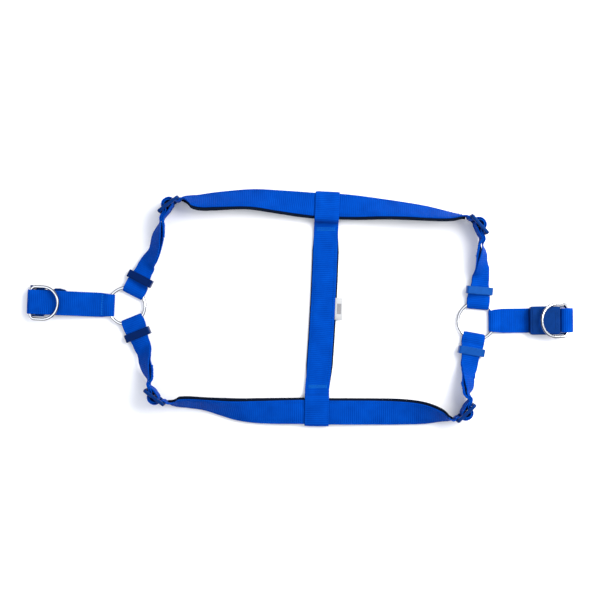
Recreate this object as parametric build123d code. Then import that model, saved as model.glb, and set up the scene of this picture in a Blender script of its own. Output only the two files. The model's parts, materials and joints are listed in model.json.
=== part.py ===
"""Step-in webbing harness, laid flat: two side straps, a crossbar, two rings, two tabs with buckle halves.

Millimetres. +Z is up, the harness rests on z = 0, +X runs from the left ring to the right ring,
and the origin is under the middle of the crossbar.
"""

import os
from math import atan2, cos, radians, sin

from build123d import *

os.makedirs("parts", exist_ok=True)

# ---- driving dimensions -------------------------------------------------------------------

WEB_W = 25.0  # nylon webbing, width
WEB_T = 1.6  # one layer
DOUBLE_T = 2 * WEB_T  # two layers sewn together
LINING_T = 2.5  # neoprene
LINING_W = 27.5
LINING_SHIFT = 1.0  # the lining stands out further on the inner edge
SEWN_GAP = 0.1  # between layers sewn together

RING_R = 19.0  # O-ring, wire centreline
WIRE_R = 1.5
RING_Z = 3.5

D_HALF = 16.6  # D-ring, wire centreline half width
D_DEPTH = 29.8  # bar to bow, centrelines
D_CORNER = 4.8

CLEAR = 0.4  # between webbing and the hard pieces it holds

LEFT_RING = (-202.4, 2.8)
RIGHT_RING = (158.1, -12.7)
LEFT_TAB_ANGLE = 177.4  # direction from the ring's centre to the tab's end
RIGHT_TAB_ANGLE = 0.6

GLIDE_L = 26.0  # tri-glide, along the strap
GLIDE_H = 31.0  # along its bars
GLIDE_T = 3.6
GLIDE_END_BAR = 3.6
GLIDE_MID_BAR = 4.0
GLIDE_RAIL = 2.7
GLIDE_CORNER = 3.0
GLIDE_ROUND = 1.2
GLIDE_WEB_OFFSET = -(GLIDE_T / 2 + CLEAR + DOUBLE_T / 2)  # webbing beside the end bars

KEEPER_W = 28.0
KEEPER_H = 6.6
KEEPER_L = 8.0
KEEPER_WALL_W = 1.1
KEEPER_WALL_H = 1.3
KEEPER_AT = 31.5  # distance from the ring's centre
KEEPER_ROLL = 12.0  # degrees, the riser's roll along the keeper's travel
KEEPER_Z = 6.3
RISER_STRAIGHT = (27.0, 44.5)  # the straight stretch that a keeper slides on

POCKET_END = 24.5  # where the ring pocket closes, from the ring's centre
POCKET_W = 21.0  # the webbing bunches narrower where it folds round a ring
POCKET_HALF = WIRE_R + CLEAR + WEB_T

BAR_R = 1.6  # the buckle halves' webbing bars
BAR_RAIL = 1.7  # the width of the rails beside a bar
BUCKLE_HALF = 14.6

LEFT_BAR_U = 98.2  # distance from the left ring's centre to the bars
MALE_BAR_Z = 3.9
LEFT_D_BAR_Z = 7.3
LEFT_D_TILT = 13.0
LEFT_D_ASIDE = 0.8  # the left ring and the plug have slid to opposite sides of the tab
MALE_ASIDE = -1.2
MALE_HALF = 15.9
MALE_T = 5.8
MALE_TIP_U = 61.4
ARM_ROOT_U = 84.2

RIGHT_BAR_U = 92.1
FEMALE_BAR_Z = 7.0
RIGHT_D_BAR_Z = 10.4
RIGHT_D_TILT = 22.0
FEMALE_Z = (3.9, 13.4)
FEMALE_MOUTH_U = 53.6
FEMALE_BACK_U = 84.9
RIGHT_LOOP_R = 5.2  # inside radius of the right tab's end loop
SOCKET_WALL = 2.0
SOCKET_SKIN = 1.8

CROSS_Z = LINING_T + SEWN_GAP
CROSS_SEAM_Y = 84.0  # where the crossbar divides into its end loops
CROSS_UPPER = (3.1, CROSS_SEAM_Y)
CROSS_MIDDLE = (0.0, 3.8)
CROSS_LOWER = (-5.9, -CROSS_SEAM_Y)
# The side straps inside the crossbar's end loops: centre, roll, and the direction they run in.
UPPER_CROSSING = ((4.3, 106.8), 16.0, -2.5)
LOWER_CROSSING = ((-6.5, -106.4), 5.0, -1.0)
CROSSING_UNDER = 2.9  # the end loops' lower layer, under the side straps
CROSSING_EDGE = 12.4  # from a side strap's centreline to the edge it rolls about
CROSSING_REACH = 15.0  # half of the straight stretch inside an end loop

# Each adjuster: its centre, and the direction in which the strap runs through it.
UPPER_LEFT_GLIDE = (-157.3, 106.3, 37.0)
UPPER_RIGHT_GLIDE = (158.4, 85.9, -48.0)
LOWER_LEFT_GLIDE = (-171.7, -89.9, -37.0)
LOWER_RIGHT_GLIDE = (145.0, -105.9, 44.0)

# Each riser leaves its ring in this direction.
UPPER_LEFT_RISER = 63.0
LOWER_LEFT_RISER = -68.0
UPPER_RIGHT_RISER = 85.0
LOWER_RIGHT_RISER = -100.0


# ---- placing and ribbons ------------------------------------------------------------------


def polar(origin, angle, distance, aside=0.0):
    """A point at a distance from origin in a direction, and aside to the left of it."""
    a = radians(angle)
    x = origin[0] + distance * cos(a) - aside * sin(a)
    y = origin[1] + distance * sin(a) + aside * cos(a)
    return x, y


def lying_height(roll):
    """Height of the strap's centreline with its lining resting on the ground, at this roll."""
    return WEB_W / 2 * sin(radians(roll)) + (LINING_T + WEB_T) * cos(radians(roll)) + 0.2


def ribbon(stations, outer_side, width, thickness_of, sink=0.0, shift=0.0):
    """A flat strap through stations of (x, y, z, roll), as rectangles joined by ruled faces.

    outer_side is 1 where the strap's outer edge is on the left of its run, and -1 on the right.
    A roll of 0 lies flat; a roll of 90 stands on its outer edge with its top face outwards.
    sink moves the section down through the strap's thickness, and shift towards its inner edge.
    """
    wires = []
    last = len(stations) - 1
    for i, (x, y, z, roll) in enumerate(stations):
        before = stations[max(i - 1, 0)]
        after = stations[min(i + 1, last)]
        turn_in = atan2(y - before[1], x - before[0]) if i > 0 else None
        turn_out = atan2(after[1] - y, after[0] - x) if i < last else None
        if turn_in is None:
            turn_in = turn_out
        if turn_out is None:
            turn_out = turn_in
        heading = atan2(sin(turn_in) + sin(turn_out), cos(turn_in) + cos(turn_out))
        mitre = cos(heading - turn_in)
        outward = Vector(-sin(heading), cos(heading), 0) * outer_side
        tilt = radians(roll)
        raised = outward * -cos(tilt) + Vector(0, 0, sin(tilt))
        top = outward * sin(tilt) + Vector(0, 0, cos(tilt))
        stretch = 1 + (1 / max(mitre, 0.6) - 1) * sin(tilt)
        half_t = top * (thickness_of(i) / 2 * stretch)
        centre = Vector(x, y, z) - top * sink + raised * shift
        half_w = raised * (width / 2)
        low = centre - half_w
        high = centre + half_w
        corners = [low - half_t, high - half_t, high + half_t, low + half_t]
        wires.append(Wire.make_polygon(corners, close=True))
    return Solid.make_loft(wires, ruled=True)


def upright_prism(outline, holes, origin, angle, width, z=0.0):
    """A profile of (distance, height) points, extruded across the direction it runs in."""
    along = polar((0, 0), angle, 1) + (0,)
    across = polar((0, 0), angle - 90, 1) + (0,)
    profile = Plane(origin=(origin[0], origin[1], z), x_dir=along, z_dir=across)
    sketch = make_face(Polyline(*outline, close=True))
    for hole in holes:
        sketch -= make_face(Polyline(*hole, close=True))
    return extrude(profile * sketch, amount=width / 2, both=True)


def mirrored(points):
    """The points, then the same points below the axis in the other order."""
    return points + [(u, -w) for u, w in reversed(points)]


def ring_pocket(origin, angle):
    """The fold that holds a ring's wire: a slack loop that closes to a doubled strap."""
    outside = [(12.0, 1.7), (13.3, POCKET_HALF), (20.8, POCKET_HALF), (POCKET_END, WEB_T)]
    inside = [(13.6, 1.2), (14.0, WIRE_R + CLEAR), (20.9, WIRE_R + CLEAR), (22.3, 0.3)]
    return upright_prism(mirrored(outside), [mirrored(inside)], origin, angle, POCKET_W, RING_Z)


def fused(*pieces):
    """One solid from pieces that meet."""
    joined = pieces[0]
    for piece in pieces[1:]:
        joined = joined + piece
    return joined


# ---- side straps --------------------------------------------------------------------------


def glide_point(glide, along, outward, outer_side):
    """A point in an adjuster's own directions: along the strap, and towards its outer side."""
    x, y, angle = glide
    return polar((x, y), angle, along, outward * outer_side)


def glide_stations(glide, outer_side):
    """The webbing's way through an adjuster: in by one slot, over the middle bar, out by the other."""
    beside = GLIDE_WEB_OFFSET
    slot = (GLIDE_L / 2 - GLIDE_END_BAR + GLIDE_MID_BAR / 2) / 2
    half = [(13.5, beside), (slot + 2.9, beside), (slot, -1.2), (slot, 1.2), (slot - 2.9, -beside)]
    way = [(-u, w) for u, w in half] + list(reversed(half))
    return [glide_point(glide, u, w, outer_side) + (GLIDE_H / 2, 90.0) for u, w in way]


def riser_stations(ring, angle, bends):
    """From the ring pocket along the keeper's straight stretch, then through the given bends."""
    stations = [polar(ring, angle, POCKET_END) + (RING_Z, 0.0)]
    for distance in RISER_STRAIGHT:
        stations.append(polar(ring, angle, distance) + (KEEPER_Z, KEEPER_ROLL))
    return stations + [(x, y, WEB_W / 2 * sin(radians(roll)) + 3.0, roll) for x, y, roll in bends]


# Each list holds (x, y, roll): the strap's centreline between adjuster and straight stretch.
UPPER_LEFT_BENDS = [(-173.2, 57.0, 62.0), (-168.0, 75.0, 77.0), (-165.8, 86.5, 90.0)]
UPPER_RIGHT_BENDS = [(162.0, 44.5, 54.0), (161.9, 56.0, 75.0), (162.4, 66.0, 90.0)]
LOWER_LEFT_BENDS = [(-182.0, -52.5, 63.0), (-178.8, -66.0, 84.0), (-179.0, -75.0, 90.0)]
LOWER_RIGHT_BENDS = [(148.2, -68.0, 56.0), (147.8, -80.0, 74.0), (148.8, -88.0, 90.0)]

# Each list holds (x, y, roll): the main run, on either side of the crossbar.
UPPER_MAIN_LEFT = [
    (-137.0, 111.6, 68.0),
    (-126.0, 110.6, 56.0),
    (-111.2, 111.7, 50.0),
    (-75.2, 113.8, 41.0),
    (-44.3, 111.0, 28.0),
]
UPPER_MAIN_RIGHT = [(58.7, 103.9, 40.0), (82.0, 102.0, 50.0), (110.0, 98.6, 60.0), (132.0, 95.8, 74.0)]
LOWER_MAIN_LEFT = [
    (-150.0, -96.8, 72.0),
    (-138.0, -97.0, 66.0),
    (-122.0, -98.6, 62.0),
    (-104.0, -101.8, 50.0),
    (-85.5, -104.8, 34.0),
    (-64.9, -106.2, 20.0),
]
LOWER_MAIN_RIGHT = [(58.7, -107.0, 8.0), (86.0, -107.4, 20.0), (104.0, -108.4, 36.0), (120.0, -110.2, 62.0)]


def crossing_height(roll):
    """Height of a side strap's centreline inside the crossbar's end loop."""
    edge_lift = CROSSING_EDGE * sin(radians(roll))
    return CROSSING_UNDER + edge_lift + (LINING_T + WEB_T) * cos(radians(roll)) - WEB_T / 2


def crossing_stations(crossing, roll, heading):
    """The straight stretch of a side strap inside the crossbar's end loop."""
    z = crossing_height(roll)
    return [polar(crossing, heading, u) + (z, roll) for u in (-CROSSING_REACH, CROSSING_REACH)]


def lying(line):
    """Stations of a stretch that lies on the ground, from its (x, y, roll)."""
    return [(x, y, lying_height(roll), roll) for x, y, roll in line]


def main_stations(left, crossing, right):
    """The main run between the adjusters, through the crossbar's end loop."""
    return lying(left) + crossing_stations(*crossing) + lying(right)


def side_strap(outer_side, rings, risers, bends, glides, main):
    """One continuous strap: ring, riser, adjuster, main run, adjuster, riser, ring."""
    left = riser_stations(rings[0], risers[0], bends[0])
    right = riser_stations(rings[1], risers[1], bends[1])
    through_left = glide_stations(glides[0], outer_side)
    through_right = glide_stations(glides[1], outer_side)
    stations = left + through_left + main + through_right + list(reversed(right))
    leaves = len(left) + len(through_left) - 1
    single = range(leaves, leaves + len(main) + 2)
    run = ribbon(stations, outer_side, WEB_W, lambda i: WEB_T if i in single else DOUBLE_T)
    return fused(run, ring_pocket(rings[0], risers[0]), ring_pocket(rings[1], risers[1]))


def halfway(one, other):
    """The station in the middle between two others."""
    return tuple((a + b) / 2 for a, b in zip(one, other))


def side_lining(outer_side, main, glides):
    """Neoprene under the main run, standing out at its inner edge."""
    start = halfway(glide_stations(glides[0], outer_side)[-1], main[0])
    end = halfway(glide_stations(glides[1], outer_side)[0], main[-1])
    sink = WEB_T / 2 + SEWN_GAP + LINING_T / 2
    return ribbon([start, *main, end], outer_side, LINING_W, lambda i: LINING_T, sink=sink, shift=LINING_SHIFT)


UPPER_MAIN = main_stations(UPPER_MAIN_LEFT, UPPER_CROSSING, UPPER_MAIN_RIGHT)
LOWER_MAIN = main_stations(LOWER_MAIN_LEFT, LOWER_CROSSING, LOWER_MAIN_RIGHT)


# ---- crossbar -----------------------------------------------------------------------------


def crossbar_loop(seam, crossing, roll, heading):
    """An end loop: a slanted sleeve round the side strap and its lining, with a tail to the seam."""
    angle = heading + 90 if crossing[1] > 0 else heading - 90
    way_x = (crossing[0] - seam[0]) * cos(radians(angle))
    way_y = (crossing[1] - seam[1]) * sin(radians(angle))
    reach = abs(way_x + way_y)
    base = polar(crossing, angle, -reach)
    tilt = radians(roll)
    height = crossing_height(roll)

    def at(inward, up):
        return reach - inward * cos(tilt) + up * sin(tilt), height + inward * sin(tilt) + up * cos(tilt)

    far = -(WEB_W / 2 + 2 * CLEAR)
    near = LINING_W / 2 + LINING_SHIFT + CLEAR
    high = WEB_T / 2 + CLEAR
    low = -(WEB_T / 2 + SEWN_GAP + LINING_T + CLEAR)
    inside = [at(far, low), at(near, low), at(near, high), at(far, high)]
    outside = [
        at(far - WEB_T, low - WEB_T),
        at(near + WEB_T, low - WEB_T),
        at(near + WEB_T, -1.5),
        (0.0, CROSS_Z),
        (0.0, CROSS_Z + WEB_T),
        at(near + WEB_T, 0.5),
        at(near + WEB_T, high + WEB_T),
        at(far - WEB_T, high + WEB_T),
    ]
    return upright_prism(outside, [inside], base, angle, WEB_W)


def crossbar_run(width, thickness, bottom, reach):
    """The flat middle of the crossbar, bowed a little to one side."""
    line = [(CROSS_LOWER[0], -reach), CROSS_MIDDLE, (CROSS_UPPER[0], reach)]
    right = [(x + width / 2, y) for x, y in line]
    left = [(x - width / 2, y) for x, y in reversed(line)]
    outline = make_face(Polyline(*right, *left, close=True))
    return Location((0, 0, bottom)) * extrude(outline, amount=thickness)


def crossbar_webbing():
    """The crossbar with the loops at both its ends."""
    run = crossbar_run(WEB_W, WEB_T, CROSS_Z, CROSS_SEAM_Y + 0.3)
    upper = crossbar_loop(CROSS_UPPER, *UPPER_CROSSING)
    lower = crossbar_loop(CROSS_LOWER, *LOWER_CROSSING)
    return fused(run, upper, lower)


def stitch_row(centre, angle, z, rows, count, pitch):
    """Small raised thread lengths in rows across a strap."""
    frame = Location((centre[0], centre[1], z), (0, 0, angle))
    stitches = []
    for row in range(rows):
        for k in range(count):
            place = Location((row * 2.0, (k - (count - 1) / 2) * pitch, 0.2))
            stitches.append(frame * place * Box(0.7, pitch * 0.7, 0.4))
    return Compound(children=stitches)


def tab_stitches(ring, angle):
    """The two rows that close a tab's ring pocket."""
    return stitch_row(polar(ring, angle, 26.0), angle, RING_Z + WEB_T, 2, 7, 2.0)


def label():
    """A folded tape label in the crossbar's edge seam."""
    length = 23.0
    stands_out = 7.0
    edge = WEB_W / 2 + 0.1
    place = Location((edge + stands_out / 2 - 0.1, 0.0, CROSS_Z + 0.35), (0, 0, -2.3))
    return place * Box(stands_out, length, 0.7)


# ---- rings --------------------------------------------------------------------------------


def o_ring(centre):
    """A welded wire ring, flat on the webbing that holds it."""
    return Location((centre[0], centre[1], RING_Z)) * Torus(RING_R, WIRE_R)


def d_ring(centre, angle, bar_u, bar_z, tilt, aside=0.0):
    """A D-ring with its bar across the tab and its bow pointing back to the ring, tilted up."""
    straight = D_HALF - D_CORNER
    side_end = D_DEPTH - D_HALF
    with BuildLine() as line:
        Line((0, 0), (0, straight))
        JernArc(start=(0, straight), tangent=(0, 1), radius=D_CORNER, arc_size=-90)
        Line((D_CORNER, D_HALF), (side_end, D_HALF))
        ThreePointArc((side_end, D_HALF), (D_DEPTH, 0), (side_end, -D_HALF))
        Line((side_end, -D_HALF), (D_CORNER, -D_HALF))
        JernArc(start=(D_CORNER, -D_HALF), tangent=(-1, 0), radius=D_CORNER, arc_size=-90)
        Line((0, -straight), (0, 0))
    section = Plane(origin=(0, 0, 0), z_dir=(0, 1, 0)) * Circle(WIRE_R)
    wire = sweep(section, path=line.wires()[0])
    frame = Location((centre[0], centre[1], 0), (0, 0, angle)) * Location((bar_u, aside, bar_z), (0, tilt, 180))
    return frame * wire


# ---- tabs ---------------------------------------------------------------------------------


def tab_run(centre, angle, profile):
    """The tab's doubled webbing through points of (distance, height)."""
    outside = [(u, z + WEB_T) for u, z in profile] + [(u, z - WEB_T) for u, z in reversed(profile)]
    return upright_prism(outside, [], centre, angle, WEB_W)


def arc_points(u, z, radius, start, stop, count=13):
    """Points on an arc, for a profile."""
    steps = [start + (stop - start) * k / (count - 1) for k in range(count)]
    return [(u + radius * cos(radians(a)), z + radius * sin(radians(a))) for a in steps]


def left_tab():
    """Runs over the folded male half, and ends in a tall loop round both bars."""
    top = LEFT_D_BAR_Z
    low = MALE_BAR_Z
    inner = BAR_R + CLEAR - 0.1
    tail_z = MALE_T + 0.8 + WEB_T
    meets = LEFT_BAR_U - inner - WEB_T / 2
    way = [(POCKET_END, RING_Z), (29.0, RING_Z), (56.0, tail_z), (meets, tail_z)]
    run = tab_run(LEFT_RING, LEFT_TAB_ANGLE, way)

    def stadium(radius):
        return arc_points(LEFT_BAR_U, top, radius, 0, 180) + arc_points(LEFT_BAR_U, low, radius, 180, 360)

    loop = upright_prism(stadium(inner + WEB_T), [stadium(inner)], LEFT_RING, LEFT_TAB_ANGLE, WEB_W)
    return fused(run, loop, ring_pocket(LEFT_RING, LEFT_TAB_ANGLE))


def right_tab():
    """Lies under the female half, and ends in a round loop that both bars turn in."""
    outer = RIGHT_LOOP_R + WEB_T
    tab_z = FEMALE_BAR_Z - outer + WEB_T
    meets = RIGHT_BAR_U - outer + 1.0
    way = [(POCKET_END, RING_Z), (29.0, RING_Z), (36.0, tab_z), (meets, tab_z)]
    run = tab_run(RIGHT_RING, RIGHT_TAB_ANGLE, way)

    def across(outline, width=WEB_W):
        return upright_prism(outline, [], RIGHT_RING, RIGHT_TAB_ANGLE, width)

    def circle(radius):
        return arc_points(RIGHT_BAR_U, FEMALE_BAR_Z, radius, 0, 345, 24)

    floor = tab_z - WEB_T
    near = meets - 0.5
    wedge = across([(near, floor), (RIGHT_BAR_U, floor), (RIGHT_BAR_U, tab_z), (near, tab_z + WEB_T)])
    solid = fused(run, wedge, across(circle(outer)))
    return solid - across(circle(RIGHT_LOOP_R), WEB_W + 2) + ring_pocket(RIGHT_RING, RIGHT_TAB_ANGLE)


# ---- buckle -------------------------------------------------------------------------------


def block(u, v, z, radius=0.0):
    """A box between limits along, across and up, with rounded upright edges."""
    box = Box(u[1] - u[0], v[1] - v[0], z[1] - z[0])
    if radius:
        box = fillet(box.edges().filter_by(Axis.Z), radius)
    return Location(((u[0] + u[1]) / 2, (v[0] + v[1]) / 2, (z[0] + z[1]) / 2)) * box


def webbing_bar(u, z, back, half):
    """The bar that webbing folds round, and the rails that carry it."""
    bar = Location((u, 0, z), (90, 0, 0)) * Cylinder(BAR_R, 2 * half)
    rail_z = (z - BAR_R, z + BAR_R)
    rails = []
    for side in (-1, 1):
        v = sorted((side * (half - BAR_RAIL), side * half))
        rail = block((back - 0.5, u), v, rail_z)
        cap = Location((u, side * (half - BAR_RAIL / 2), z), (90, 0, 0)) * Cylinder(BAR_R, BAR_RAIL)
        rails += [rail, cap]
    return fused(bar, *rails)


MALE_CROSS_U = (84.5, 93.0)
TONGUE_HALF = 3.0
ARM_V = (9.4, 12.0)


def placed(ring, angle, piece, aside=0.0):
    """A piece drawn along a tab, moved to its ring and direction."""
    return Location((ring[0], ring[1], 0), (0, 0, angle)) * Location((0, aside, 0)) * piece


def softened(piece, radius):
    """The piece with its top and bottom edges rounded."""
    levels = piece.edges().group_by(Axis.Z)
    return fillet(levels[0] + levels[-1], radius)


def male_frame():
    """The plug's webbing bar, cross piece and middle tongue."""
    bar = webbing_bar(LEFT_BAR_U, MALE_BAR_Z, MALE_CROSS_U[1], MALE_HALF)
    cross = softened(block(MALE_CROSS_U, (-MALE_HALF, MALE_HALF), (0.0, MALE_T), 1.5), 0.9)
    root = MALE_CROSS_U[0] + 1.0
    tongue = block((MALE_TIP_U + 1.5, root), (-TONGUE_HALF, TONGUE_HALF), (1.2, MALE_T - 1.2), 1.2)
    rib = block((MALE_TIP_U + 8.0, root), (-0.8, 0.8), (0.6, MALE_T - 0.6))
    plug = fused(bar, cross, softened(tongue, 0.8), rib)
    return placed(LEFT_RING, LEFT_TAB_ANGLE, plug, MALE_ASIDE)


def male_arm(side):
    """One sprung arm: a slim leg and a barbed head that the finger presses."""
    outline = [
        (ARM_ROOT_U, ARM_V[0]),
        (ARM_ROOT_U, ARM_V[1]),
        (76.0, ARM_V[1]),
        (74.0, 13.7),
        (69.0, 13.9),
        (64.0, 12.7),
        (MALE_TIP_U, 10.6),
        (MALE_TIP_U, ARM_V[0] - 0.6),
        (66.0, ARM_V[0] - 0.4),
        (72.0, ARM_V[0]),
    ]
    face = make_face(Polyline(*[(u, side * v) for u, v in outline], close=True))
    arm = softened(Location((0, 0, 0.9)) * extrude(face, amount=MALE_T - 1.8), 0.5)
    dimple = block((66.5, 72.5), sorted((side * 10.8, side * 12.4)), (MALE_T - 1.6, MALE_T), 0.7)
    return placed(LEFT_RING, LEFT_TAB_ANGLE, arm - dimple, MALE_ASIDE)


def crossed_ridges(z):
    """Two crossed grip ridges on the socket's top, drawn over its full width."""
    middle = (66.9, 0.0, z)
    ridges = [Location(middle, (0, 0, turn)) * Box(1.3, 21.0, 0.8) for turn in (-18, 18)]
    return fused(*[softened(ridge, 0.35) for ridge in ridges])


def female_half():
    """The socket: a hollow body with an open mouth, side windows and a webbing bar."""
    z0, z1 = FEMALE_Z
    body = softened(block((FEMALE_MOUTH_U, FEMALE_BACK_U), (-BUCKLE_HALF, BUCKLE_HALF), (z0, z1), 3.0), 1.3)
    inner = BUCKLE_HALF - SOCKET_WALL
    hollow = (z0 + SOCKET_SKIN, z1 - SOCKET_SKIN)
    cavity = block((FEMALE_MOUTH_U - 1.0, FEMALE_BACK_U - 3.0), (-inner, inner), hollow)
    windows = block((62.0, 74.0), (-BUCKLE_HALF - 1.0, BUCKLE_HALF + 1.0), hollow)
    lip = softened(block((56.0, 57.4), (-11.6, 11.6), (z1 - 0.4, z1 + 0.5)), 0.4)
    dots = [Location((82.3, v, z1)) * Cylinder(0.5, 0.7) for v in range(-9, 10, 3)]
    recess = block((72.5, 80.0), (-9.5, 9.5), (z1 - 0.35, z1 + 1.0), 1.0)
    bar = webbing_bar(RIGHT_BAR_U, FEMALE_BAR_Z, FEMALE_BACK_U, BUCKLE_HALF)
    shell = body - cavity - windows - recess
    return placed(RIGHT_RING, RIGHT_TAB_ANGLE, fused(shell, lip, crossed_ridges(z1), *dots, bar))


# ---- adjusters and keepers ----------------------------------------------------------------


def tri_glide(glide):
    """A flat slide buckle standing on its long side: two slots beside a middle bar."""
    frame = Box(GLIDE_L, GLIDE_T, GLIDE_H)
    frame = fillet(frame.edges().filter_by(Axis.Y), GLIDE_CORNER)
    slot_l = (GLIDE_L - 2 * GLIDE_END_BAR - GLIDE_MID_BAR) / 2
    slot_at = GLIDE_MID_BAR / 2 + slot_l / 2
    for side in (-1, 1):
        slot = Box(slot_l, GLIDE_T + 2, GLIDE_H - 2 * GLIDE_RAIL)
        slot = fillet(slot.edges().filter_by(Axis.Y), 0.8)
        frame = frame - Location((side * slot_at, 0, 0)) * slot
    faces = frame.edges().group_by(Axis.Y)
    frame = fillet(faces[0] + faces[-1], GLIDE_ROUND)
    return Location((glide[0], glide[1], GLIDE_H / 2), (0, 0, glide[2])) * frame


def keeper(ring, riser, outer_side):
    """A moulded rectangular loop round the doubled riser."""
    x, y = polar(ring, riser, KEEPER_AT)
    loop = Box(KEEPER_L, KEEPER_W, KEEPER_H)
    loop = fillet(loop.edges().filter_by(Axis.X), 1.6)
    ends = loop.edges().group_by(Axis.X)
    loop = fillet(ends[0] + ends[-1], 0.6)
    loop = loop - Box(KEEPER_L + 2, KEEPER_W - 2 * KEEPER_WALL_W, KEEPER_H - 2 * KEEPER_WALL_H)
    roll = -KEEPER_ROLL * outer_side
    return Location((x, y, KEEPER_Z), (0, 0, riser)) * Location((0, 0, 0), (roll, 0, 0)) * loop


# ---- all nodes ----------------------------------------------------------------------------

UPPER = 1  # on the upper strap the outer edge is on the left of its run from left to right
LOWER = -1

RINGS = (LEFT_RING, RIGHT_RING)
UPPER_GLIDES = (UPPER_LEFT_GLIDE, UPPER_RIGHT_GLIDE)
LOWER_GLIDES = (LOWER_LEFT_GLIDE, LOWER_RIGHT_GLIDE)

NODES = {
    "upper_side_strap": side_strap(
        UPPER,
        RINGS,
        (UPPER_LEFT_RISER, UPPER_RIGHT_RISER),
        (UPPER_LEFT_BENDS, UPPER_RIGHT_BENDS),
        UPPER_GLIDES,
        UPPER_MAIN,
    ),
    "lower_side_strap": side_strap(
        LOWER,
        RINGS,
        (LOWER_LEFT_RISER, LOWER_RIGHT_RISER),
        (LOWER_LEFT_BENDS, LOWER_RIGHT_BENDS),
        LOWER_GLIDES,
        LOWER_MAIN,
    ),
    "upper_lining": side_lining(UPPER, UPPER_MAIN, UPPER_GLIDES),
    "lower_lining": side_lining(LOWER, LOWER_MAIN, LOWER_GLIDES),
    "crossbar_webbing": crossbar_webbing(),
    "crossbar_lining": crossbar_run(LINING_W, LINING_T, 0.0, CROSS_SEAM_Y - 2.0),
    "crossbar_upper_stitches": stitch_row((3.0, 79.0), 88.0, CROSS_Z + WEB_T, 2, 9, 2.0),
    "crossbar_lower_stitches": stitch_row((-5.6, -79.0), -92.0, CROSS_Z + WEB_T, 2, 9, 2.0),
    "label": label(),
    "left_o_ring": o_ring(LEFT_RING),
    "right_o_ring": o_ring(RIGHT_RING),
    "left_tab": left_tab(),
    "right_tab": right_tab(),
    "left_tab_stitches": tab_stitches(LEFT_RING, LEFT_TAB_ANGLE),
    "right_tab_stitches": tab_stitches(RIGHT_RING, RIGHT_TAB_ANGLE),
    "left_d_ring": d_ring(LEFT_RING, LEFT_TAB_ANGLE, LEFT_BAR_U, LEFT_D_BAR_Z, LEFT_D_TILT, LEFT_D_ASIDE),
    "right_d_ring": d_ring(RIGHT_RING, RIGHT_TAB_ANGLE, RIGHT_BAR_U, RIGHT_D_BAR_Z, RIGHT_D_TILT),
    "male_buckle_frame": male_frame(),
    "male_buckle_arm_a": male_arm(1),
    "male_buckle_arm_b": male_arm(-1),
    "female_buckle": female_half(),
    "upper_left_tri_glide": tri_glide(UPPER_LEFT_GLIDE),
    "upper_right_tri_glide": tri_glide(UPPER_RIGHT_GLIDE),
    "lower_left_tri_glide": tri_glide(LOWER_LEFT_GLIDE),
    "lower_right_tri_glide": tri_glide(LOWER_RIGHT_GLIDE),
    "upper_left_keeper": keeper(LEFT_RING, UPPER_LEFT_RISER, UPPER),
    "upper_right_keeper": keeper(RIGHT_RING, UPPER_RIGHT_RISER, -UPPER),
    "lower_left_keeper": keeper(LEFT_RING, LOWER_LEFT_RISER, LOWER),
    "lower_right_keeper": keeper(RIGHT_RING, LOWER_RIGHT_RISER, -LOWER),
}

for name, solid in NODES.items():
    export_step(solid, f"parts/{name}.step")
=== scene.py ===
"""Looks for the webbing harness: ribbons of webbing, neoprene, wire, stitching and light."""

import json
import math
import random

import bpy
import numpy as np
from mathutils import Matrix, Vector


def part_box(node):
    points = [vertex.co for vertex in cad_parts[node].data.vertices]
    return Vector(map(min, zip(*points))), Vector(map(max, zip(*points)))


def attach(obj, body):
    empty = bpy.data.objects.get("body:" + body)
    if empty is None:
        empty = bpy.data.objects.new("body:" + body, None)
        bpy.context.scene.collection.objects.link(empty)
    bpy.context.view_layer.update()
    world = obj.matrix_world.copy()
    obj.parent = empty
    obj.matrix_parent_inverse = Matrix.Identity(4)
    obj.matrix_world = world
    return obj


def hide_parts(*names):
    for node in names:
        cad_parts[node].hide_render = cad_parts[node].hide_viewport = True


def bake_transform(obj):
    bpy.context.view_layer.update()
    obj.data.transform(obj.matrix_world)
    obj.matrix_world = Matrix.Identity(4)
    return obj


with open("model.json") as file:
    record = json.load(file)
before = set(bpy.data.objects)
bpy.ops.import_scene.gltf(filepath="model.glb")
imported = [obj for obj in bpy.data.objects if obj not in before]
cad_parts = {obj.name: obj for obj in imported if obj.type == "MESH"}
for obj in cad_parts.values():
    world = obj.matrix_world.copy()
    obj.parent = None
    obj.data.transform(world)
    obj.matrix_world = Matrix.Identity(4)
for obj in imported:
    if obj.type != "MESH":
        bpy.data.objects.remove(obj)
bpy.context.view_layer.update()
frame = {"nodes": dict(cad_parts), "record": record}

MM = 0.001
RNG = random.Random(7)

# ---- sizes shared with the CAD model, in millimetres ---------------------------------------

WEB_W = 25.0
WEB_T = 1.45  # without its ribs
LAYER = 1.62  # from one layer's middle to the next one's
RIB_PITCH = 2.0
RIB_HEIGHT = 0.09
STEP = 0.5  # along the webbing, between rows of vertices

LINING_T = 2.4
LINING_W = 27.4
LINING_SHIFT = 1.0
LINING_SINK = 0.8 + 0.1 + 1.25  # half the webbing, a gap, half the lining, as in CAD
LINED_DEPTH = 4.1  # from a strap's middle to its lining's underside
SEAM_LIFT = 0.05  # of a thread above its cloth

RING_R = 19.0
WIRE_R = 1.5
RING_Z = 3.5

GLIDE_BESIDE = -3.8  # the doubled webbing's middle, beside an adjuster's end bars
GLIDE_Z = 15.5

LEFT_BAR_U = 98.2
RIGHT_BAR_U = 92.1

JOINTS = {joint["name"]: joint for joint in frame["record"]["behaviour"]["joints"]}


def box_centre(node):
    """The middle of a CAD node's box, in millimetres."""
    low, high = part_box(node)
    return (np.array(low) + np.array(high)) / 2 / MM


def joint_point(name):
    """A joint's place, in millimetres."""
    return np.array(JOINTS[name]["pos_m"]) / MM


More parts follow.
